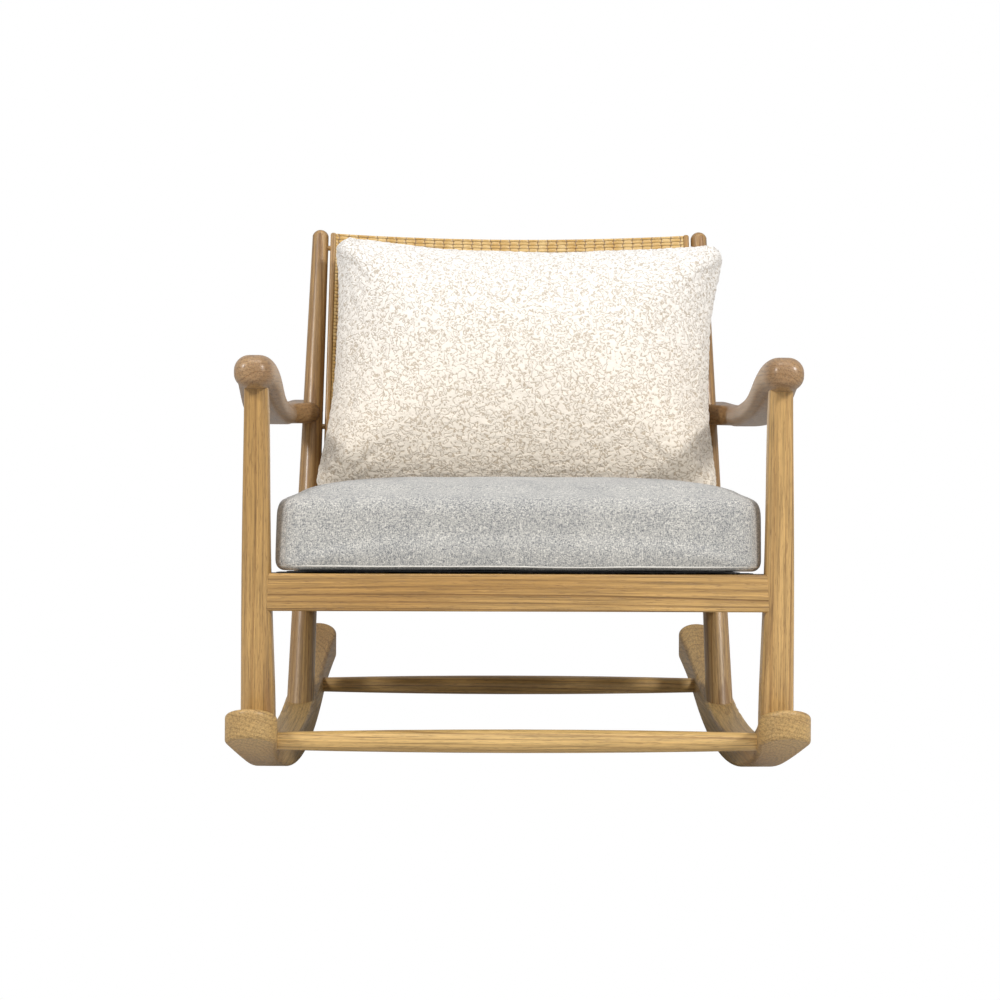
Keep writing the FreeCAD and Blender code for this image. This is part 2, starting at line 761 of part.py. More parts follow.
def build_side():
    """Every wooden piece of the right side, with its joints cut."""
    rocker = rocker_blank()
    post, post_top_tenon, post_foot_tenon = front_post()
    leg, leg_tenon = rear_post()
    arm = armrest()
    front_tenon, rear_tenon, side_front_tenon, side_rear_tenon = rail_tenons()
    stretchers = [stretcher(0, front_stretcher_height), stretcher(rear_stretcher_y, rear_stretcher_height)]
    stile = on_back(stile_blank(-1))
    dowels = back_dowels(-1)
    bolt, bolt_hole = arm_screw()

    rocker_hull = rocker.copy()
    post = post.cut(rocker_hull)
    post = post.fuse([post_top_tenon, post_foot_tenon])
    reach = Vector(rear_foot.x, rear_top_height, rear_top_height)
    under_rim = box(rear_foot - reach, rear_foot + Vector(reach.x, reach.y, -rear_post_rim))
    leg = leg.cut([rocker_hull, under_rim])
    leg = max(leg.Solids, key=lambda solid: solid.Volume).fuse(leg_tenon)

    side_rail = side_rail_blank().cut([post, leg])
    side_rail = max(side_rail.Solids, key=lambda solid: solid.Volume)
    side_rail = side_rail.fuse([side_front_tenon, side_rear_tenon])
    rocker = rocker.cut([post, leg] + stretchers)
    arm = arm.cut([post, leg, bolt, bolt_hole])
    post = post.cut([front_tenon, side_front_tenon])
    leg = leg.cut([rear_tenon, side_rear_tenon, bolt, bolt_hole] + dowels)
    stile = stile.cut(dowels)
    return {
        "rocker": rocker, "front_post": post, "rear_post": leg, "armrest": arm,
        "seat_side_rail": side_rail, "back_stile": stile,
        "front_tenon": front_tenon, "rear_tenon": rear_tenon, "dowels": dowels, "arm_screw": bolt,
    }


def trimmed_rail(blank, side, tenon, post_name):
    """Rail between two posts, its ends shaped to them, with its tenons."""
    hulls = [side[post_name], mirrored(side[post_name]), tenon, mirrored(tenon)]
    bar = blank.cut(hulls)
    bar = max(bar.Solids, key=lambda solid: solid.Volume)
    return bar.fuse([tenon, mirrored(tenon)])


def build():
    side = build_side()
    parts = {}
    for name in ("rocker", "front_post", "rear_post", "armrest", "back_stile"):
        parts[name + "_right"] = side[name]
        parts[name + "_left"] = mirrored(side[name])
    front_rail = trimmed_rail(front_rail_blank(), side, side["front_tenon"], "front_post")
    rear_rail = trimmed_rail(rear_rail_blank(), side, side["rear_tenon"], "rear_post")
    side_rail = side["seat_side_rail"]
    side_rail = side_rail.cut([front_rail, rear_rail])
    side_rail = max(side_rail.Solids, key=lambda solid: solid.Volume)

    blocks = []
    screws = []
    holes = []
    for place in block_places():
        blocks.append(tilted(corner_block(*place)))
        bolt, hole = block_screw(*place)
        screws.append(tilted(bolt))
        holes.append(tilted(hole))
    posts = [side["front_post"], side["rear_post"]]
    blocks = [block.cut([front_rail, rear_rail, side_rail] + posts + screws + holes) for block in blocks]
    blocks = [max(block.Solids, key=lambda solid: solid.Volume) for block in blocks]
    screws_both = screws + [mirrored(bolt) for bolt in screws]
    side_rail = side_rail.cut(screws)
    front_rail = front_rail.cut(screws_both)
    rear_rail = rear_rail.cut(screws_both)
    for name in ("front_post", "rear_post"):
        parts[name + "_right"] = parts[name + "_right"].cut(screws)
        parts[name + "_left"] = mirrored(parts[name + "_right"])

    parts["seat_front_rail"] = front_rail
    parts["seat_rear_rail"] = rear_rail
    parts["seat_side_rail_right"] = side_rail
    parts["seat_side_rail_left"] = mirrored(side_rail)
    parts["corner_blocks"] = Part.makeCompound(blocks + [mirrored(block) for block in blocks])
    parts["corner_block_screws"] = Part.makeCompound(screws_both)
    parts["front_stretcher"] = stretcher(0, front_stretcher_height)
    parts["rear_stretcher"] = stretcher(rear_stretcher_y, rear_stretcher_height)
    parts["webbing_lengthwise"] = straps_lengthwise()
    parts["webbing_crosswise"] = straps_crosswise()
    parts["platform_cloth"] = platform_cloth()
    parts["arm_screws"] = Part.makeCompound([side["arm_screw"], mirrored(side["arm_screw"])])

    bottom, top = back_rails()
    parts["back_bottom_rail"] = on_back(bottom)
    parts["back_top_rail"] = on_back(top)
    parts["woven_back_panel"] = on_back(cane_panel())
    dowels = side["dowels"]
    parts["back_dowels"] = Part.makeCompound(dowels + [mirrored(pin) for pin in dowels])

    for name, solid, zipper in (
        ("seat_cushion", seat_cushion_solid, seat_zip()),
        ("back_cushion", back_cushion_solid, back_zip()),
    ):
        cover = solid(0.0).cut(solid(cover_thickness))
        zipper = zipper.common(solid(0.0)).cut(solid(cover_thickness))
        parts[name + "_zip"] = zipper
        parts[name + "_cover"] = cover.cut(zipper)
        parts[name + "_filling"] = solid(cover_thickness + cushion_clearance)
    return parts


def centred(parts):
    """Move every piece along Y so that the origin is under the middle of the chair."""
    whole = Part.makeCompound(list(parts.values())).optimalBoundingBox(False, False)
    middle = (whole.YMin + whole.YMax) / 2
    print("origin is", round(middle, 3), "behind the front posts; box",
          [round(v, 2) for v in (whole.XMin, whole.XMax, whole.YMin, whole.YMax, whole.ZMin, whole.ZMax)])
    return {name: moved(shape, y=-middle) for name, shape in parts.items()}


os.makedirs("parts", exist_ok=True)
print("rear posts' feet at height", round(rear_foot.z, 3), "lean", round(math.degrees(back_lean), 4))
for name, shape in centred(build()).items():
    solids = shape.Solids
    print(name, len(solids), round(shape.Volume / 1000, 1), "cm3", "valid" if shape.isValid() else "NOT VALID")
    solid = solids[0] if len(solids) == 1 else Part.makeCompound(solids)
    solid.exportStep("parts/" + name + ".step")
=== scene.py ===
import math

import bmesh
import bpy
from mathutils import Matrix, Vector, noise
from mathutils.bvhtree import BVHTree


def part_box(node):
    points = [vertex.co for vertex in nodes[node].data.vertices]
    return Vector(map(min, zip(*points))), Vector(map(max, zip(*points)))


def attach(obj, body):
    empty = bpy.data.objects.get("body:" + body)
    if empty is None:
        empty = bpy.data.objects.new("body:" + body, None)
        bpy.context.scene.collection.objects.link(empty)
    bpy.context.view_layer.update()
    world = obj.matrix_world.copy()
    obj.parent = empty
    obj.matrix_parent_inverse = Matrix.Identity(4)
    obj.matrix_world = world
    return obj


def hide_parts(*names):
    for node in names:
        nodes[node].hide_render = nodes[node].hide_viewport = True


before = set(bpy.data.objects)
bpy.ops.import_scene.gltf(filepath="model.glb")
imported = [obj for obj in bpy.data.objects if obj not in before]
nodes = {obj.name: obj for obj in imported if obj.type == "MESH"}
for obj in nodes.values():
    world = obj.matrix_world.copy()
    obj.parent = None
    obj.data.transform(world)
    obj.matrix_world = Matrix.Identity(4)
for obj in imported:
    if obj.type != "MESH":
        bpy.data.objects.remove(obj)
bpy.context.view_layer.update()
print("frame:", len(nodes), "pieces")

postLow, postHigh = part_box("front_post_right")
frontY = (postLow.y + postHigh.y) / 2  # plane of the front posts

# Places of the seat deck and of the leaning back, as in the frame, in metres and degrees
seat = {"height": 0.282, "slope": 4.5, "deck": 0.0035}
back = {
    "footY": 0.5, "footZ": 0.051924, "lean": 17.995,
    "panelFront": 0.0112, "bow": 0.022, "reach": 0.2836,  # the cane panel, bowed to the rear
}

seatCushion = {
    "front": -0.015, "depth": 0.55, "halfFront": 0.2995, "halfRear": 0.283, "shift": 0.001,
    "thickness": 0.117, "side": 0.078, "lean": 0.001, "footRound": 0.006,
    "crownReach": 0.241, "corner": 0.034, "waist": 0.005,
    "voxel": 0.006, "pressure": 3.0, "cap": 0.005, "inward": 0.0005,
}
backCushion = {
    "half": 0.300, "height": 0.410, "thickness": 0.150, "corner": 0.022, "waist": 0.017, "fullness": 0.188,
    "foot": 0.288, "forward": 0.0702, "shift": 0.018, "roll": 1.0, "slump": 1.85,
    "voxel": 0.006, "pressure": 4.0, "cap": 0.010, "inward": 0.010,
}

# Straps and platform cloth, measured across and rearward from the front rail's middle
straps = {
    "width": 0.050, "high": 0.0019, "low": 0.0001, "edge": 0.0008, "steps": 60,
    "lengthwise": (-0.192, -0.096, 0.0, 0.096, 0.192), "start": -0.0065, "end": 0.5680,
    "crosswise": (0.095, 0.203, 0.311, 0.419), "under": 0.0022, "reach": 0.3183, "narrowing": 0.0284,
}
platform = {
    "half": 0.267, "start": -0.012, "end": 0.562, "height": 0.00275, "hem": 0.014, "hemRise": 0.0003,
    "wrinkle": 0.00012, "thickness": 0.0006, "steps": 70,
}


# Camera: level, a little left of the chair's middle and turned a little right, framed with lens shift
cameraLook = {"x": -0.0526, "distance": 2.4, "height": 0.4989, "yaw": 1.0, "roll": 0.28, "lens": 70.88,
              "shiftX": -0.0104, "shiftY": -0.104}
camera = bpy.data.objects.new("camera", bpy.data.cameras.new("camera"))
bpy.context.scene.collection.objects.link(camera)
camera.location = (cameraLook["x"], frontY - cameraLook["distance"], cameraLook["height"])
turn = Matrix.Rotation(-math.radians(cameraLook["yaw"]), 4, "Z") @ Matrix.Rotation(math.radians(90), 4, "X")
camera.rotation_euler = (turn @ Matrix.Rotation(math.radians(cameraLook["roll"]), 4, "Z")).to_euler()
camera.data.sensor_width = 36
camera.data.lens = cameraLook["lens"]
camera.data.shift_x = cameraLook["shiftX"]
camera.data.shift_y = cameraLook["shiftY"]
camera.data.clip_end = 60
bpy.context.scene.camera = camera
bpy.context.scene.view_settings.view_transform = "Standard"


# Small helpers for node trees

def paint(text):  # sRGB hex to the linear colour that the sockets take
    values = [int(text[i:i + 2], 16) / 255 for i in (1, 3, 5)]
    return tuple(v / 12.92 if v <= 0.04045 else ((v + 0.055) / 1.055) ** 2.4 for v in values) + (1.0,)


def addNode(tree, kind, inputs=None, **settings):
    node = tree.nodes.new("ShaderNode" + kind)
    for key, value in settings.items():
        setattr(node, key, value)
    for socket, value in (inputs or {}).items():
        target = node.inputs[socket]
        if isinstance(value, bpy.types.NodeSocket):
            tree.links.new(value, target)
        else:
            target.default_value = value
    return node


def mathNode(tree, operation, a, b=0.0, c=0.0):
    return addNode(tree, "Math", {0: a, 1: b, 2: c}, operation=operation).outputs[0]


def vectorNode(tree, operation, a, b=(0, 0, 0)):
    node = addNode(tree, "VectorMath", {0: a, 1: b}, operation=operation)
    return node.outputs["Value" if operation in ("LENGTH", "DOT_PRODUCT") else "Vector"]


def rampNode(tree, factor, stops):
    ramp = addNode(tree, "ValToRGB", {"Fac": factor})
    elements = ramp.color_ramp.elements
    while len(elements) < len(stops):
        elements.new(0.5)
    for element, (place, colour) in zip(elements, stops):
        element.position = place
        element.color = colour if isinstance(colour, tuple) else (colour, colour, colour, 1)
    return ramp.outputs["Color"]


def mixNode(tree, factor, a, b, blend="MIX"):
    node = addNode(tree, "Mix", {"Factor": factor}, data_type="RGBA", blend_type=blend)
    for socket, value in ((node.inputs[6], a), (node.inputs[7], b)):
        if isinstance(value, bpy.types.NodeSocket):
            tree.links.new(value, socket)
        else:
            socket.default_value = value
    return node.outputs[2]


def noiseNode(tree, vector, scale, detail=2.0, rough=0.5, distortion=0.0):
    return addNode(tree, "TexNoise", {"Vector": vector, "Scale": scale, "Detail": detail,
                                      "Roughness": rough, "Distortion": distortion})


def newMaterial(name):
    material = bpy.data.materials.new(name)
    material.use_nodes = True
    tree = material.node_tree
    tree.nodes.clear()
    return material, tree


def finishMaterial(tree, colour, roughness, height, distance, strength, inputs=None):
    bump = addNode(tree, "Bump", {"Height": height, "Distance": distance, "Strength": strength})
    sockets = {"Base Color": colour, "Roughness": roughness, "Normal": bump.outputs["Normal"], **(inputs or {})}
    shader = addNode(tree, "BsdfPrincipled", sockets)
    addNode(tree, "OutputMaterial", {"Surface": shader.outputs["BSDF"]})


# Oiled ash: growth rings cut lengthwise give straight lines on one face and arches on the next

def woodMaterial(name, look):
    material, tree = newMaterial(name)
    coords = addNode(tree, "TexCoord").outputs["Object"]
    turn = Vector(look["along"]).rotation_difference(Vector((0, 0, 1))).to_euler()
    mapped = addNode(tree, "Mapping", {"Vector": coords, "Location": look["pith"], "Rotation": turn}).outputs[0]
    stretched = vectorNode(tree, "MULTIPLY", mapped, (1, 1, look["stretch"]))
    wander = noiseNode(tree, stretched, look["wanderScale"], 2.5, 0.55).outputs["Color"]
    offset = vectorNode(tree, "MULTIPLY", vectorNode(tree, "SUBTRACT", wander, (0.5, 0.5, 0.5)),
                        (look["wander"], look["wander"], 0))
    bent = vectorNode(tree, "ADD", mapped, offset)
    radius = vectorNode(tree, "LENGTH", vectorNode(tree, "MULTIPLY", bent, (1, 1, 0)))
    height = addNode(tree, "SeparateXYZ", {"Vector": bent}).outputs["Z"]
    reach = mathNode(tree, "MULTIPLY_ADD", height, look["taper"], radius)
    rings = mathNode(tree, "DIVIDE", reach, look["ring"])
    uneven = noiseNode(tree, vectorNode(tree, "MULTIPLY", mapped, (1, 1, 0.02)), 34, 1.0).outputs["Fac"]
    rings = mathNode(tree, "MULTIPLY_ADD", uneven, 2.4, rings)
    band = rampNode(tree, mathNode(tree, "FRACT", rings),
                    [(0.0, 0.05), (0.45, 0.0), (0.70, 0.30), (0.86, 0.95), (0.95, 1.0), (1.0, 0.1)])
    year = addNode(tree, "TexWhiteNoise", {"W": mathNode(tree, "FLOOR", rings)}, noise_dimensions="1D")
    strong = mathNode(tree, "MULTIPLY_ADD", year.outputs["Value"], 0.75, 0.25)
    ringShade = mathNode(tree, "MULTIPLY", mathNode(tree, "MULTIPLY", band, strong), look["contrast"])
    thread = vectorNode(tree, "MULTIPLY", mapped, (1, 1, 0.018))
    fibre = noiseNode(tree, thread, 430, 4.0, 0.7).outputs["Fac"]
    poreNoise = noiseNode(tree, vectorNode(tree, "MULTIPLY", mapped, (1, 1, 0.045)), 1500, 1.0).outputs["Fac"]
    pores = rampNode(tree, poreNoise, [(0.0, 0.0), (0.60, 0.0), (0.68, 1.0), (1.0, 1.0)])
    broad = vectorNode(tree, "MULTIPLY", mapped, (1, 1, 0.15))
    patch = noiseNode(tree, broad, look["patchScale"], 2.0).outputs["Fac"]
    base = rampNode(tree, patch, [(0.32, paint(look["pale"])), (0.68, paint(look["mid"]))])
    colour = mixNode(tree, ringShade, base, paint(look["dark"]))
    shade = rampNode(tree, fibre, [(0.32, 0.55), (0.50, 0.98), (0.66, 1.22)])
    colour = mixNode(tree, 1.0, colour, shade, "MULTIPLY")
    colour = mixNode(tree, mathNode(tree, "MULTIPLY", pores, look["pores"]), colour, paint(look["pore"]))
    rough = mathNode(tree, "MULTIPLY_ADD", fibre, 0.16, look["rough"] - 0.08)
    relief = mathNode(tree, "SUBTRACT", mathNode(tree, "MULTIPLY_ADD", band, 0.25, fibre), pores)
    finishMaterial(tree, colour, rough, relief, 0.0004, 0.35,
                   inputs={"IOR": 1.5, "Coat Weight": look["coat"], "Coat Roughness": 0.22, "Coat IOR": 1.5})
    return material


ash = {
    "along": (0, 0, 1), "pith": (0.05, 0.03, 0.0), "stretch": 0.10, "wanderScale": 11, "wander": 0.012,
    "taper": 0.015, "ring": 0.0055, "contrast": 0.80, "patchScale": 9, "pores": 0.45,
    "pale": "#C29C62", "mid": "#AA8146", "dark": "#6E4518", "pore": "#5A3512", "rough": 0.42, "coat": 0.35,
}

woodLooks = {
    # straight lines down the front posts
    "front_post_left": {"along": (0, 0, 1), "pith": (0.42, 0.16, 0), "contrast": 0.6, "mid": "#A67F45"},
    "front_post_right": {"along": (0, 0, 1), "pith": (-0.40, 0.14, 0), "contrast": 0.6, "mid": "#A67F45"},
    # turned rear posts, a little browner, with tall arches
    "rear_post_left": {"along": (0, 0.309, 0.951), "pith": (0.27, 0.03, 0), "mid": "#A07B4A", "pale": "#C3A270"},
    "rear_post_right": {"along": (0, 0.309, 0.951), "pith": (-0.33, 0.04, 0), "mid": "#A07B4A", "pale": "#C3A270"},
    # greyer steam-bent arms and rockers
    "armrest_left": {"along": (0, 1, 0), "pith": (0.3, 0.44, 0), "pale": "#A4835C", "mid": "#83623F",
                     "contrast": 0.5, "wander": 0.02},
    "armrest_right": {"along": (0, 1, 0), "pith": (-0.3, 0.44, 0), "pale": "#A4835C", "mid": "#83623F",
                      "contrast": 0.5, "wander": 0.02},
    "rocker_left": {"along": (0, 1, 0), "pith": (0.33, 0.05, 0), "pale": "#C6A56C", "mid": "#A07A45",
                    "contrast": 0.40, "ring": 0.005, "coat": 0.12, "rough": 0.50},
    "rocker_right": {"along": (0, 1, 0), "pith": (-0.31, 0.05, 0), "pale": "#C6A56C", "mid": "#A07A45",
                     "contrast": 0.40, "ring": 0.005, "coat": 0.12, "rough": 0.50},
    # dark arches in the upper half of the front rail
    "seat_front_rail": {"along": (1, 0, 0), "pith": (-0.25, 0.40, 0), "ring": 0.010,
                        "wander": 0.07, "wanderScale": 5, "contrast": 0.9, "dark": "#5E3C12", "pale": "#C9A468"},
    "seat_rear_rail": {"along": (1, 0, 0), "pith": (-0.22, -0.14, 0)},
    "seat_side_rail_left": {"along": (0, 1, 0), "pith": (0.33, 0.24, 0)},
    "seat_side_rail_right": {"along": (0, 1, 0), "pith": (-0.33, 0.24, 0)},
    "front_stretcher": {"along": (1, 0, 0), "pith": (-0.07, 0.35, 0), "wander": 0.02,
                        "pale": "#D9B678", "mid": "#C39C5C"},
    "rear_stretcher": {"along": (1, 0, 0), "pith": (-0.05, -0.25, 0), "wander": 0.02,
                       "pale": "#D2AE70", "mid": "#BC9254"},
    "back_top_rail": {"along": (1, 0, 0)},
    "back_bottom_rail": {"along": (1, 0, 0)},
    "back_stile_left": {"along": (0, 0.309, 0.951), "pith": (0.30, 0.05, 0), "pale": "#DCC396"},
    "back_stile_right": {"along": (0, 0.309, 0.951), "pith": (-0.30, 0.05, 0), "pale": "#CDAF7E"},
    "back_dowels": {"along": (1, 0, 0), "ring": 0.003},
    "corner_blocks": {"along": (1, 1, 0), "pale": "#DDBD8C", "mid": "#C9A36B", "coat": 0.0, "rough": 0.6},
}


def dress(name, material):
    mesh = nodes[name].data
    mesh.materials.clear()
    mesh.materials.append(material)


for name, changes in woodLooks.items():
    dress(name, woodMaterial("ash_" + name, {**ash, **changes}))
print("wood:", len(woodLooks), "pieces")


# Cane: flat strands passing over and under each other, glossy skin outside, with painted shade where they dip and
# between them

# Painted shade: the darkest colour here stands for shade where strands dip under and between them
caneLook = {
    "pitchAcross": 0.0150, "pitchUp": 0.0058, "pale": "#DDBE84", "mid": "#C49C58", "gap": "#6A481E", "rough": 0.36,
}


def caneMaterial(look):
    material, tree = newMaterial("woven_cane")
    coords = addNode(tree, "TexCoord").outputs["Object"]
    lean = math.radians(back["lean"])
    mapped = addNode(tree, "Mapping", {"Vector": coords, "Rotation": (lean, 0, 0)}).outputs[0]
    wobble = noiseNode(tree, mapped, 60, 1.0).outputs["Color"]
    shaken = vectorNode(tree, "ADD", mapped,
                        vectorNode(tree, "MULTIPLY", vectorNode(tree, "SUBTRACT", wobble, (0.5, 0.5, 0.5)),
                                   (0.0012, 0, 0.0012)))
    parts = addNode(tree, "SeparateXYZ", {"Vector": shaken})
    across = mathNode(tree, "DIVIDE", parts.outputs["X"], look["pitchAcross"])
    along = mathNode(tree, "DIVIDE", parts.outputs["Z"], look["pitchUp"])
    cells = mathNode(tree, "ADD", mathNode(tree, "FLOOR", across), mathNode(tree, "FLOOR", along))
    parity = mathNode(tree, "FLOORED_MODULO", cells, 2.0)

    def strand(width, length):
        side = mathNode(tree, "ABSOLUTE", mathNode(tree, "MULTIPLY_ADD", mathNode(tree, "FRACT", width), 2, -1))
        profile = mathNode(tree, "SUBTRACT", 1.0, mathNode(tree, "POWER", side, 3.0))
        arch = mathNode(tree, "SINE", mathNode(tree, "MULTIPLY", mathNode(tree, "FRACT", length), math.pi))
        return mathNode(tree, "MULTIPLY", profile, mathNode(tree, "MULTIPLY_ADD", arch, 0.55, 0.45))

    upright = strand(across, along)
    level = strand(along, across)
    weave = addNode(tree, "Mix", {"Factor": parity, "A": upright, "B": level}).outputs["Result"]
    splitNoise = noiseNode(tree, mapped, 900, 2.0).outputs["Fac"]
    tint = noiseNode(tree, mapped, 45, 2.0).outputs["Fac"]
    base = rampNode(tree, tint, [(0.3, paint(look["pale"])), (0.7, paint(look["mid"]))])
    base = mixNode(tree, 1.0, base, rampNode(tree, splitNoise, [(0.2, 0.82), (0.7, 1.06)]), "MULTIPLY")
    # painted shade: the colour falls to the dark shade colour where the strands dip and between them
    depth = rampNode(tree, weave, [(0.0, 0.0), (0.22, 0.25), (0.55, 1.0), (1.0, 1.0)])
    colour = mixNode(tree, depth, paint(look["gap"]), base)
    relief = mathNode(tree, "MULTIPLY_ADD", splitNoise, 0.06, weave)
    finishMaterial(tree, colour, look["rough"], relief, 0.0016, 0.9, inputs={"IOR": 1.5})
    return material


dress("woven_back_panel", caneMaterial(caneLook))


# Zinc-plated steel: a grey shine broken by fine scratches

def steelMaterial():
    material, tree = newMaterial("zinc_plated_steel")
    coords = addNode(tree, "TexCoord").outputs["Object"]
    scratches = noiseNode(tree, coords, 2400, 3.0).outputs["Fac"]
    colour = rampNode(tree, scratches, [(0.3, paint("#8F9194")), (0.7, paint("#B9BBBD"))])
    rough = mathNode(tree, "MULTIPLY_ADD", scratches, 0.2, 0.22)
    finishMaterial(tree, colour, rough, scratches, 0.0001, 0.3, inputs={"Metallic": 1.0})
    return material


# Elastic webbing and platform cloth: a dull plain weave, with paler lines along the straps

def webbingMaterial(name, along, ground, stripe, pitch):
    material, tree = newMaterial(name)
    parts = addNode(tree, "SeparateXYZ", {"Vector": addNode(tree, "TexCoord").outputs["Object"]})
    run, side = parts.outputs[along], parts.outputs["Y" if along == "X" else "X"]
    wale = mathNode(tree, "SINE", mathNode(tree, "MULTIPLY", run, math.tau / pitch))
    course = mathNode(tree, "SINE", mathNode(tree, "MULTIPLY", side, math.tau / pitch))
    weave = mathNode(tree, "MULTIPLY", wale, course)
    stripes = mathNode(tree, "SINE", mathNode(tree, "MULTIPLY", side, math.tau / 0.0125))
    base = rampNode(tree, stripes, [(0.55, paint(ground)), (0.75, paint(stripe))])
    colour = mixNode(tree, 1.0, base, rampNode(tree, weave, [(0.0, 0.7), (0.6, 1.05)]), "MULTIPLY")
    finishMaterial(tree, colour, 0.85, weave, 0.0006, 0.8)
    return material


steel = steelMaterial()
dress("arm_screws", steel)
dress("corner_block_screws", steel)
print("cane and steel done")


# Heathered wool blend: light and dark yarns spun together, seen as fine speckle

def heatherMaterial():
    material, tree = newMaterial("heather_wool_blend")
    coords = addNode(tree, "TexCoord").outputs["Object"]
    speck = noiseNode(tree, coords, 820, 1.0, 0.6).outputs["Fac"]
    slub = noiseNode(tree, vectorNode(tree, "MULTIPLY", coords, (0.4, 1, 1)), 560, 1.0).outputs["Fac"]
    cross = noiseNode(tree, vectorNode(tree, "MULTIPLY", coords, (1, 1, 0.4)), 560, 1.0).outputs["Fac"]
    cloud = noiseNode(tree, coords, 22, 3.0).outputs["Fac"]
    yarn = mathNode(tree, "ADD", mathNode(tree, "MULTIPLY", slub, 0.5), mathNode(tree, "MULTIPLY", cross, 0.5))
    value = mathNode(tree, "MULTIPLY_ADD", speck, 0.55, mathNode(tree, "MULTIPLY", yarn, 0.45))
    value = mathNode(tree, "MULTIPLY_ADD", cloud, 0.10, value)
    colour = rampNode(tree, value, [(0.42, paint("#6E6F72")), (0.52, paint("#9D9D9B")),
                                    (0.60, paint("#B6B3AD")), (0.68, paint("#D6D3CC"))])
    relief = mathNode(tree, "ADD", yarn, mathNode(tree, "MULTIPLY", speck, 0.6))
    finishMaterial(tree, colour, 0.92, relief, 0.0009, 0.6,
                   inputs={"Sheen Weight": 0.25, "Sheen Roughness": 0.5})
    return material


# Cream boucle: curled yarn loops with warm painted shade between them, and painted shade making the cream warmer and a
# little darker towards the bottom

# Painted shade in these colours: the cream warmer and a little darker low on the cushion, and a darker cream between
# the loops
boucleLook = {"curls": 14.0, "white": "#EAE6E1", "shadedLow": "#EBE0D0", "gap": "#C8BEB0"}


def boucleMaterial(look):
    material, tree = newMaterial("cream_boucle")
    coords = addNode(tree, "TexCoord").outputs["Object"]
    swirl = noiseNode(tree, coords, 130, 2.0, 0.6).outputs["Color"]
    bent = vectorNode(tree, "ADD", coords,
                      vectorNode(tree, "MULTIPLY", vectorNode(tree, "SUBTRACT", swirl, (0.5, 0.5, 0.5)),
                                 (0.009, 0.009, 0.009)))
    field = noiseNode(tree, bent, 105, 1.0, 0.5).outputs["Fac"]
    wave = mathNode(tree, "SINE", mathNode(tree, "MULTIPLY", field, look["curls"]))
    curl = mathNode(tree, "ABSOLUTE", wave)  # curls follow the noise's contour lines
    fine = noiseNode(tree, coords, 700, 2.0, 0.6).outputs["Fac"]
    relief = mathNode(tree, "MULTIPLY_ADD", fine, 0.3, curl)
    # painted shade: the cream turns warmer and a little darker towards the bottom of the cushion
    low = addNode(tree, "SeparateXYZ", {"Vector": coords}).outputs["Z"]
    shadedLow = rampNode(tree, mathNode(tree, "MULTIPLY_ADD", low, 3.0, -1.2), [(0.0, paint(look["shadedLow"])),
                                                                            (1.0, paint(look["white"]))])
    # painted shade darkens the cream between the loops
    gap = mixNode(tree, 1.0, shadedLow, paint(look["gap"]), "MULTIPLY")
    colour = mixNode(tree, rampNode(tree, curl, [(0.05, 0.0), (0.62, 1.0)]), gap, shadedLow)
    finishMaterial(tree, colour, 0.95, relief, 0.0011, 0.7,
                   inputs={"Sheen Weight": 0.4, "Sheen Roughness": 0.6})
    return material


# Twisted thread and zip tape: matt, with a little painted shade between the twists

def threadMaterial(name, pale, dark, scale):
    material, tree = newMaterial(name)
    coords = addNode(tree, "TexCoord").outputs["Object"]
    twist = noiseNode(tree, coords, scale, 2.0).outputs["Fac"]
    colour = rampNode(tree, twist, [(0.35, paint(dark)), (0.65, paint(pale))])
    finishMaterial(tree, colour, 0.9, twist, 0.0004, 0.5)
    return material


# Cushions

# Points round a cushion, corners rounded and sides curving in, shrunk by an inset

def drawnInRing(look, halfFront, halfRear, halfDepth, inset):
    front, rear, depth = halfFront - inset, halfRear - inset, halfDepth - inset
    r = max(look["corner"] - inset * 0.25, look["corner"] * 0.4)
    dip = look["waist"] * max(0.0, 1 - inset / halfDepth)
    corners = ((front, -depth, 1, -1, -90), (rear, depth, 1, 1, 0), (-rear, depth, -1, 1, 90),
               (-front, -depth, -1, -1, 180))
    arcs = []
    for x, y, sx, sy, start in corners:
        centre = Vector((x - sx * r, y - sy * r))
        arcs.append([centre + Vector((math.cos(a), math.sin(a))) * r
                     for a in [math.radians(start + 15 * i) for i in range(7)]])
    points = []
    for i, arc in enumerate(arcs):
        points.extend(arc)
        end, begin = arc[-1], arcs[(i + 1) % 4][0]
        middle = (end + begin) / 2
        for j in range(1, 24):
            t = j / 24
            pull = -middle.normalized() * dip * 4 * t * (1 - t)
            points.append(end.lerp(begin, t) + pull)
    return points


def swell(startLevel, endLevel, startInset, endInset, steps=14):
    levels = []
    for i in range(steps + 1):
        a = math.pi / 2 * i / steps
        levels.append((startLevel + (endLevel - startLevel) * math.sin(a),
                       startInset + (endInset - startInset) * (1 - math.cos(a))))
    return levels


def pieceFrom(mesh, name):  # an object of its own from a finished bmesh
    data = bpy.data.meshes.new(name)
    mesh.to_mesh(data)
    mesh.free()
    piece = bpy.data.objects.new(name, data)
    bpy.context.scene.collection.objects.link(piece)
    return piece


def stackedMesh(name, look, sizes, levels):
    mesh = bmesh.new()
    rings = []
    for level, inset in levels:
        ring = drawnInRing(look, *sizes, inset)
        rings.append([mesh.verts.new((p.x, p.y, level)) for p in ring])
    for below, above in zip(rings, rings[1:]):
        for i in range(len(below)):
            j = (i + 1) % len(below)
            mesh.faces.new((below[i], below[j], above[j], above[i]))
    mesh.faces.new(rings[0][::-1])
    mesh.faces.new(rings[-1])
    bmesh.ops.triangulate(mesh, faces=[f for f in mesh.faces if len(f.verts) > 4])
    return pieceFrom(mesh, name)


def bake(piece):  # replaces the mesh with what its modifiers make of it
    graph = bpy.context.evaluated_depsgraph_get()
    made = bpy.data.meshes.new_from_object(piece.evaluated_get(graph))
    piece.modifiers.clear()
    piece.data = made


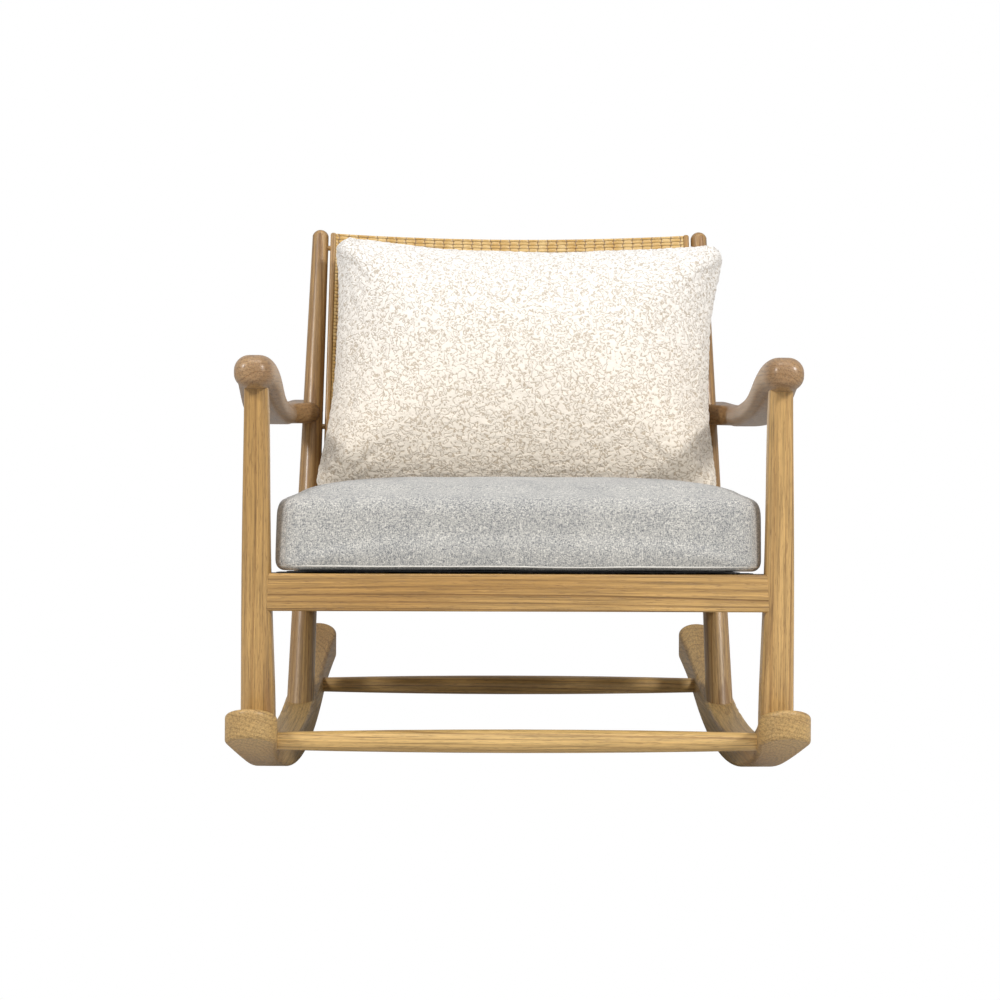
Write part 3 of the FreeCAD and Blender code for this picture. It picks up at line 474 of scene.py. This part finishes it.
def remesh(piece, voxel):
    modifier = piece.modifiers.new("voxels", "REMESH")
    modifier.mode = "VOXEL"
    modifier.voxel_size = voxel
    bake(piece)
    smooth = piece.modifiers.new("smooth", "SMOOTH")
    smooth.iterations = 6
    smooth.factor = 0.5
    bake(piece)


# Cloth under a little air pressure, so that the cover takes real folds; held vertices stay put

def puff(piece, look, held):
    rest = [(v.co.copy(), v.normal.copy()) for v in piece.data.vertices]
    group = piece.vertex_groups.new(name="held")
    for v in piece.data.vertices:
        group.add([v.index], held(v.co), "REPLACE")
    cloth = piece.modifiers.new("cloth", "CLOTH")
    cloth.settings.quality = 4
    cloth.settings.mass = 0.25
    cloth.settings.tension_stiffness = 12
    cloth.settings.compression_stiffness = 12
    cloth.settings.shear_stiffness = 4
    cloth.settings.bending_stiffness = 0.4
    cloth.settings.use_pressure = True
    cloth.settings.uniform_pressure_force = look["pressure"]
    cloth.settings.vertex_group_mass = "held"
    cloth.settings.effector_weights.gravity = 0
    cloth.collision_settings.use_collision = False
    scene = bpy.context.scene
    for step in range(1, 21):
        scene.frame_set(step)
    bake(piece)
    ends = []
    for v, (start, normal) in zip(piece.data.vertices, rest):
        move = v.co - start
        move += normal * max(0.0, -move.dot(normal) - look["inward"])  # the foam holds the cover out
        ends.append(start + move * min(1.0, look["cap"] / max(move.length, 1e-6)))
    piece.data.vertices.foreach_set("co", [c for end in ends for c in end])
    piece.data.update()
    scene.frame_set(1)


# Moves every vertex by a function of its place and normal, read before anything moves

def reshape(piece, change):
    mesh = piece.data
    starts = [(v.co.copy(), v.normal.copy()) for v in mesh.vertices]
    mesh.vertices.foreach_set("co", [c for place, normal in starts for c in change(place, normal)])
    mesh.update()


def softDents(piece, scale, depth, seed):  # shallow uneven fullness of a sat-on cushion
    shift = Vector((seed, seed * 0.7, 0))
    reshape(piece, lambda p, n: p + n * noise.noise((p + shift) * scale) * depth)


def placeOnSeat(point):
    a = math.radians(seat["slope"])
    x, y, z = point
    return Vector((x, y * math.cos(a) + z * math.sin(a) + frontY, -y * math.sin(a) + z * math.cos(a) + seat["height"]))


# x across, y along the posts, z forward, from the cushion's own middle

def placeOnBack(point):
    a, roll = math.radians(back["lean"]), math.radians(backCushion["roll"])
    x, y, z = point
    x += y * math.tan(math.radians(backCushion["slump"]))
    side = x * math.cos(roll) + y * math.sin(roll) + backCushion["shift"]
    up = -x * math.sin(roll) + y * math.cos(roll) + backCushion["foot"] + backCushion["height"] / 2
    bowed = back["bow"] * max(0.0, 1 - (side / back["reach"]) ** 2)
    out = max(z + backCushion["forward"], back["panelFront"] - bowed)  # pressed flat against the cane
    return Vector((side, back["footY"] + frontY + up * math.sin(a) - out * math.cos(a),
                   back["footZ"] + up * math.cos(a) + out * math.sin(a)))


def shadeSmooth(piece):
    for polygon in piece.data.polygons:
        polygon.use_smooth = True


def buildSeatCushion():
    look = seatCushion
    bottom = swell(look["footRound"], 0.0, 0.0, look["footRound"], 6)[::-1]
    top = swell(look["side"], look["thickness"], look["lean"], look["crownReach"])
    piece = stackedMesh("seatCushion", look, (look["halfFront"], look["halfRear"], look["depth"] / 2), bottom + top)
    remesh(piece, look["voxel"])
    puff(piece, look, lambda p: 1.0 if p.z < 0.012 else 0.0)
    softDents(piece, 9.0, 0.0022, 3.1)
    middle = look["front"] + look["depth"] / 2
    reshape(piece, lambda p, n: placeOnSeat((p.x + look["shift"], p.y + middle, max(p.z, 0.0) + seat["deck"])))
    divide = piece.modifiers.new("divide", "SUBSURF")
    divide.levels = 1
    bake(piece)
    shadeSmooth(piece)
    return piece


def buildBackCushion():
    look = backCushion
    half = look["thickness"] / 2
    front = swell(0.0, half, 0.0, look["fullness"])
    rear = [(-level, inset) for level, inset in front[1:]][::-1]
    piece = stackedMesh("backCushion", look, (look["half"], look["half"], look["height"] / 2), rear + front)
    remesh(piece, look["voxel"])
    puff(piece, look, lambda p: 1.0 if abs(p.z) < 0.004 else 0.0)
    softDents(piece, 8.0, 0.004, 7.7)
    divide = piece.modifiers.new("divide", "SUBSURF")
    divide.levels = 1
    bake(piece)
    # the loops stand out as real relief at the edges
    reshape(piece, lambda p, n: p + n * (noise.noise(p * 210) * 0.6 + noise.noise(p * 90) * 0.4) * 0.0022)
    reshape(piece, lambda p, n: placeOnBack(p))
    shadeSmooth(piece)
    return piece


# Elastic straps with thick woven edges, and the hemmed cloth stretched over them

def buildStraps(name, lines):
    mesh = bmesh.new()
    half, edge, middle = straps["width"] / 2, straps["edge"], (straps["low"] + straps["high"]) / 2
    profile = ((-half + edge, straps["low"]), (half - edge, straps["low"]), (half, middle),
               (half - edge, straps["high"]), (-half + edge, straps["high"]), (-half, middle))
    for start, end, drop in lines:
        way = (end - start).normalized()
        side = Vector((way.y, -way.x, 0))
        rings = []
        for i in range(straps["steps"] + 1):
            base = start.lerp(end, i / straps["steps"])
            ring = [placeOnSeat((*(base + side * s).xy, level - drop)) for s, level in profile]
            rings.append([mesh.verts.new(p) for p in ring])
        for a, b in zip(rings, rings[1:]):
            for j in range(len(profile)):
                k = (j + 1) % len(profile)
                mesh.faces.new((a[j], b[j], b[k], a[k]))
        mesh.faces.new(rings[0])
        mesh.faces.new(rings[-1][::-1])
    bmesh.ops.recalc_face_normals(mesh, faces=mesh.faces)
    return pieceFrom(mesh, name)


def buildPlatform():
    mesh = bmesh.new()
    steps, half, start, end = platform["steps"], platform["half"], platform["start"], platform["end"]
    rows = []
    for i in range(steps + 1):
        row = []
        for j in range(steps + 1):
            x, y = -half + 2 * half * i / steps, start + (end - start) * j / steps
            inside = min(half - abs(x), y - start, end - y)
            level = platform["height"] + (platform["hemRise"] if inside < platform["hem"] else 0.0)
            level += noise.noise(Vector((x, y, 0.4)) * 30) * platform["wrinkle"]
            row.append(mesh.verts.new(placeOnSeat((x, y, level))))
        rows.append(row)
    for a, b in zip(rows, rows[1:]):
        for j in range(steps):
            mesh.faces.new((a[j], b[j], b[j + 1], a[j + 1]))
    piece = pieceFrom(mesh, "platformCloth")
    body = piece.modifiers.new("thickness", "SOLIDIFY")
    body.thickness = platform["thickness"]
    body.offset = -1.0
    return piece


longLines = [(Vector((x, straps["start"], 0)), Vector((x, straps["end"], 0)), 0.0) for x in straps["lengthwise"]]
crossLines = []
for y in straps["crosswise"]:
    reach = straps["reach"] - straps["narrowing"] * y
    crossLines.append((Vector((-reach, y, 0)), Vector((reach, y, 0)), straps["under"]))
longStraps = buildStraps("strapsLengthwise", longLines)
crossStraps = buildStraps("strapsCrosswise", crossLines)
platformPiece = buildPlatform()
for piece, node, slotName, material in (
    (longStraps, "webbing_lengthwise", "webbing",
     webbingMaterial("elastic_webbing_long", "Y", "#2B2A29", "#4A4846", 0.0022)),
    (crossStraps, "webbing_crosswise", "webbing",
     webbingMaterial("elastic_webbing_cross", "X", "#2B2A29", "#4A4846", 0.0022)),
    (platformPiece, "platform_cloth", "platform_cloth",
     webbingMaterial("black_platform_cloth", "Y", "#0A0A0B", "#101011", 0.0012)),
):
    piece.data.materials.append(material)
    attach(piece, "frame")
    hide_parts(node)
print("straps:", len(longLines) + len(crossLines), "and a platform cloth")

seatPiece = buildSeatCushion()
seatPiece.data.materials.append(heatherMaterial())
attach(seatPiece, "seat_cushion")
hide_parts("seat_cushion_cover", "seat_cushion_filling")
print("seat cushion:", len(seatPiece.data.vertices), "points")

backPiece = buildBackCushion()
backPiece.data.materials.append(boucleMaterial(boucleLook))
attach(backPiece, "back_cushion")
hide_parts("back_cushion_cover", "back_cushion_filling")
print("back cushion:", len(backPiece.data.vertices), "points")


# Seams: thin cords laid on the cushion's surface

def surfaceOf(piece):
    mesh = bmesh.new()
    mesh.from_mesh(piece.data)
    tree = BVHTree.FromBMesh(mesh)
    mesh.free()
    return tree


def seam(name, tree, points, radius, material, body, closed=False):
    curve = bpy.data.curves.new(name, "CURVE")
    curve.dimensions = "3D"
    curve.bevel_depth = radius
    curve.bevel_resolution = 2
    spline = curve.splines.new("NURBS")
    snapped = [tree.find_nearest(p)[0] for p in points]
    spline.points.add(len(snapped) - 1)
    for point, place in zip(spline.points, snapped):
        point.co = (*place, 1)
    spline.order_u = 3
    spline.use_endpoint_u = not closed
    spline.use_cyclic_u = closed
    curve.materials.append(material)
    piece = bpy.data.objects.new(name, curve)
    bpy.context.scene.collection.objects.link(piece)
    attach(piece, body)
    return piece


seamLook = {
    "cornerX": 0.2895, "cornerY": -0.004, "cornerLow": 0.012, "cornerStep": 0.006, "corner": 0.0007,
    "edgeHeight": 0.0075, "edge": 0.0010,
}
seatSurface = surfaceOf(seatPiece)
seatThread = threadMaterial("grey_seam_thread", "#BDBBB6", "#8B8A87", 1500)
paleThread = threadMaterial("pale_edge_thread", "#E4E1DA", "#C9C6BE", 1500)
for side, name in ((-1, "left"), (1, "right")):
    cornerX = side * seamLook["cornerX"] + seatCushion["shift"]
    cornerY = seatCushion["front"] + seamLook["cornerY"]
    line = [placeOnSeat((cornerX, cornerY, seamLook["cornerLow"] + seamLook["cornerStep"] * i)) for i in range(13)]
    seam("seatCornerSeam_" + name, seatSurface, line, seamLook["corner"], seatThread, "seat_cushion")
middleY = seatCushion["front"] + seatCushion["depth"] / 2
ring = drawnInRing(seatCushion, seatCushion["halfFront"], seatCushion["halfRear"], seatCushion["depth"] / 2, 0)
edge = [placeOnSeat((p.x + seatCushion["shift"], p.y + middleY, seamLook["edgeHeight"])) for p in ring[::2]]
seam("seatEdgeSeam", seatSurface, edge, seamLook["edge"], paleThread, "seat_cushion", closed=True)


# Zip tape, two rows of teeth and a slider along a line on the cushion; sizes run along, across and out

zipLook = {
    "teeth": 120, "halfTape": 0.0045, "tapeUp": 0.0003, "rowShift": 0.0006,
    "tooth": (0.0014, 0.0022, 0.0008), "toothUp": 0.0006, "slider": (0.011, 0.006, 0.0022), "sliderUp": 0.0014,
}


def zipPiece(name, tree, start, end, out):
    count, halfTape = zipLook["teeth"], zipLook["halfTape"]
    mesh = bmesh.new()
    way = (end - start).normalized()
    side = way.cross(out).normalized()
    strip = []
    for i in range(count + 1):
        place = start.lerp(end, i / count)
        row = [tree.find_nearest(place + side * w)[0] + out * zipLook["tapeUp"] for w in (-halfTape, 0, halfTape)]
        strip.append([mesh.verts.new(p) for p in row])
    for a, b in zip(strip, strip[1:]):
        mesh.faces.new((a[0], b[0], b[1], a[1]))
        mesh.faces.new((a[1], b[1], b[2], a[2]))
    for i in range(count):
        place = tree.find_nearest(start.lerp(end, (i + 0.5) / count))[0] + out * zipLook["toothUp"]
        shift = side * (zipLook["rowShift"] if i % 2 else -zipLook["rowShift"])
        tooth = bmesh.ops.create_cube(mesh, size=1.0)["verts"]
        long, wide, high = zipLook["tooth"]
        basis = Matrix((way * long, side * wide, out * high)).transposed().to_4x4()
        bmesh.ops.transform(mesh, matrix=Matrix.Translation(place + shift) @ basis, verts=tooth)
    slider = bmesh.ops.create_cube(mesh, size=1.0)["verts"]
    long, wide, high = zipLook["slider"]
    basis = Matrix((way * long, side * wide, out * high)).transposed().to_4x4()
    stop = Matrix.Translation(tree.find_nearest(end)[0] + out * zipLook["sliderUp"])
    bmesh.ops.transform(mesh, matrix=stop @ basis, verts=slider)
    return pieceFrom(mesh, name)


zipThread = threadMaterial("zip_tape_and_teeth", "#B9B5AC", "#8F8B83", 1800)
rearY = seatCushion["front"] + seatCushion["depth"]
seatZip = zipPiece("seatZip", seatSurface, placeOnSeat((-0.21, rearY, 0.0425)), placeOnSeat((0.21, rearY, 0.0425)),
                   Vector((0, 1, 0)))
backSurface = surfaceOf(backPiece)
lowEdge = -backCushion["height"] / 2 + backCushion["waist"]
backOut = (placeOnBack((0, -1, 0)) - placeOnBack((0, 0, 0))).normalized()
backZip = zipPiece("backZip", backSurface, placeOnBack((-0.19, lowEdge, 0)), placeOnBack((0.19, lowEdge, 0)),
                   backOut)
for piece, body, node in ((seatZip, "seat_cushion", "seat_cushion_zip"),
                          (backZip, "back_cushion", "back_cushion_zip")):
    piece.data.materials.append(zipThread)
    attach(piece, body)
    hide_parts(node)
print("seams and zips done")


# Studio: white floor and background, two soft boxes, darker surroundings for the reflections

stageLook = {"floor": "#C8C6C2", "surround": 0.50, "target": (0, 0, 0.4)}
lights = {
    "keyRight": {"place": (2.2, -2.3, 2.3), "size": (0.5, 0.6), "power": 76},
    "keyLeft": {"place": (-2.3, -2.1, 2.3), "size": (0.5, 0.6), "power": 60},
    "topSoft": {"place": (0, -0.4, 3.2), "size": (1.6, 1.2), "power": 18},
}


def buildStage():
    bpy.ops.mesh.primitive_plane_add(size=30, location=(0, 0, -0.0005))
    floor = bpy.context.object
    floor.name = "studioFloor"
    material, tree = newMaterial("white_studio_floor")
    path = addNode(tree, "LightPath")
    diffuse = addNode(tree, "BsdfDiffuse", {"Color": paint(stageLook["floor"])})
    glow = addNode(tree, "Emission", {"Color": (1, 1, 1, 1), "Strength": 1.0})
    mix = addNode(tree, "MixShader", {0: path.outputs["Is Camera Ray"], 1: diffuse.outputs[0], 2: glow.outputs[0]})
    addNode(tree, "OutputMaterial", {"Surface": mix.outputs[0]})
    floor.data.materials.append(material)
    world = bpy.data.worlds.new("studio")
    bpy.context.scene.world = world
    world.use_nodes = True
    tree = world.node_tree
    tree.nodes.clear()
    path = addNode(tree, "LightPath")
    soft = addNode(tree, "Background", {"Color": (1, 1, 1, 1), "Strength": stageLook["surround"]})
    white = addNode(tree, "Background", {"Color": (1, 1, 1, 1), "Strength": 1.0})
    seen = mathNode(tree, "MAXIMUM", path.outputs["Is Camera Ray"], path.outputs["Is Transmission Ray"])
    mix = addNode(tree, "MixShader", {0: seen, 1: soft.outputs[0], 2: white.outputs[0]})
    addNode(tree, "OutputWorld", {"Surface": mix.outputs[0]})


def softBox(name, look):
    light = bpy.data.lights.new(name, "AREA")
    light.shape = "RECTANGLE"
    light.size, light.size_y = look["size"]
    light.energy = look["power"]
    box = bpy.data.objects.new(name, light)
    bpy.context.scene.collection.objects.link(box)
    box.location = look["place"]
    way = Vector(stageLook["target"]) - Vector(look["place"])
    box.rotation_euler = way.to_track_quat("-Z", "Y").to_euler()


buildStage()
for name, look in lights.items():
    softBox(name, look)
print("stage done")
